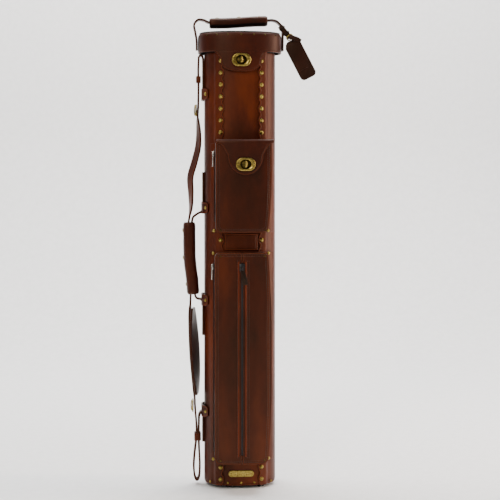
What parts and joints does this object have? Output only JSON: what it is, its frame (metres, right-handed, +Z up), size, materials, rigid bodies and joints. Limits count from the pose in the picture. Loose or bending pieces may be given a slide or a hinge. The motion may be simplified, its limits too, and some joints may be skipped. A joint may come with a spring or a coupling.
{
  "type": "cue case",
  "caption": "Upright oval leather hard case for billiard cues with a hinged cap, front pockets, turn locks, a carrying handle, a side handle with a shoulder strap, and a hanging name tag.",
  "frame": {"origin": "on the floor under the centre of the overall box, with the case standing on its feet", "axes": "+Z up along the case, -Y towards the front with the pockets, +X towards the side with the name tag"},
  "size_m": [0.2543, 0.1507, 0.8962],
  "materials": {
    "saddle_leather": "oiled red-brown bridle leather",
    "dark_leather": "oiled dark brown leather",
    "antique_brass": "antique",
    "black_rubber": "matt",
    "black_nylon": "woven",
    "nickel": "bright nickel plate",
    "hard_board": "pressed board",
    "black_foam": "plush over foam",
    "liner_plastic": "matt"
  },
  "bodies": {
    "case": {"base_plate": "hard_board", "body_wrap": "saddle_leather", "butt_tube_1": "liner_plastic", "butt_tube_2": "liner_plastic", "butt_tube_3": "liner_plastic", "core_block": "black_foam", "foot_1": "black_rubber", "foot_2": "black_rubber", "foot_3": "black_rubber", "foot_4": "black_rubber", "front_panel": "saddle_leather", "front_zip": "black_nylon", "handle_anchor_bottom": "saddle_leather", "handle_anchor_top": "saddle_leather", "lid_hinge": "saddle_leather", "lid_lock_base": "antique_brass", "lower_pocket_back": "saddle_leather", "lower_pocket_front_left": "dark_leather", "lower_pocket_front_right": "dark_leather", "lower_pocket_gusset": "saddle_leather", "lower_side_zip": "black_nylon", "mouth_plate": "black_foam", "name_plate": "antique_brass", "pocket_band": "saddle_leather", "pocket_lock_base": "antique_brass", "shaft_tube_1": "liner_plastic", "shaft_tube_2": "liner_plastic", "shaft_tube_3": "liner_plastic", "shaft_tube_4": "liner_plastic", "shaft_tube_5": "liner_plastic", "shell": "hard_board", "strap_anchor_bottom": "saddle_leather", "strap_anchor_top": "saddle_leather", "upper_pocket_back": "saddle_leather", "upper_pocket_front": "dark_leather", "upper_pocket_gusset": "saddle_leather", "upper_side_zip": "black_nylon"},
    "lid": {"lid_board": "hard_board", "lid_cover": "saddle_leather"},
    "lid_tongue": {"lid_tongue": "saddle_leather", "lid_lock_plate": "antique_brass"},
    "lid_knob": {"lid_lock_knob": "antique_brass"},
    "pocket_flap": {"pocket_flap": "saddle_leather", "pocket_lock_plate": "antique_brass"},
    "pocket_knob": {"pocket_lock_knob": "antique_brass"},
    "front_slider": {"front_zip_slider": "black_nylon"},
    "front_pull": {"front_zip_pull": "black_nylon"},
    "upper_slider": {"upper_side_slider": "nickel"},
    "lower_slider": {"lower_side_slider": "nickel"},
    "top_handle": {"top_handle_strap": "saddle_leather", "top_handle_wrap": "saddle_leather"},
    "name_tag": {"tag_body": "dark_leather", "tag_strap": "dark_leather"},
    "side_straps": {"shoulder_strap": "saddle_leather", "handle_strap": "saddle_leather", "handle_wrap": "saddle_leather", "shoulder_pad": "dark_leather", "strap_buckle_top": "antique_brass", "strap_buckle_bottom": "antique_brass"}
  },
  "joints": [
    {"name": "lid_hinge", "type": "hinge", "parent": "case", "child": "lid", "pos_m": [-0.0185, 0.0763, 0.822], "axis": [-1, 0, 0], "range_deg": [0, 165]},
    {"name": "tongue_hinge", "type": "hinge", "parent": "lid", "child": "lid_tongue", "pos_m": [-0.0185, -0.0337, 0.823], "axis": [-1, 0, 0], "range_deg": [0, 90]},
    {"name": "lid_knob_turn", "type": "hinge", "parent": "case", "child": "lid_knob", "pos_m": [-0.0185, -0.0337, 0.8065], "axis": [0, 1, 0], "range_deg": [0, 90]},
    {"name": "pocket_flap_hinge", "type": "hinge", "parent": "case", "child": "pocket_flap", "pos_m": [-0.0185, -0.0272, 0.657], "axis": [-1, 0, 0], "range_deg": [0, 90]},
    {"name": "pocket_knob_turn", "type": "hinge", "parent": "case", "child": "pocket_knob", "pos_m": [-0.0125, -0.0542, 0.61], "axis": [0, 1, 0], "range_deg": [0, 90]},
    {"name": "front_zip_slide", "type": "slide", "parent": "case", "child": "front_slider", "axis": [0, 0, -1], "range_m": [0, 0.335]},
    {"name": "front_pull_hinge", "type": "hinge", "parent": "front_slider", "child": "front_pull", "pos_m": [-0.0185, -0.0624, 0.4198], "axis": [-1, 0, 0], "range_deg": [0, 120]},
    {"name": "upper_zip_slide", "type": "slide", "parent": "case", "child": "upper_slider", "axis": [0, 0, -1], "range_m": [0, 0.1]},
    {"name": "lower_zip_slide", "type": "slide", "parent": "case", "child": "lower_slider", "axis": [0, 0, -1], "range_m": [0, 0.31]},
    {"name": "top_handle_hinge", "type": "hinge", "parent": "lid", "child": "top_handle", "pos_m": [-0.0185, 0.0208, 0.84], "axis": [1, 0, 0], "range_deg": [-8, 8], "stiffness_Nm_per_rad": 0.5},
    {"name": "tag_hinge", "type": "hinge", "parent": "top_handle", "child": "name_tag", "pos_m": [0.0595, 0.0208, 0.8745], "axis": [0, -1, 0], "range_deg": [0, 60]},
    {"name": "strap_swing", "type": "hinge", "parent": "case", "child": "side_straps", "pos_m": [-0.0925, 0.0208, 0], "axis": [0, 0, 1], "range_deg": [-16, 16]}
  ]
}
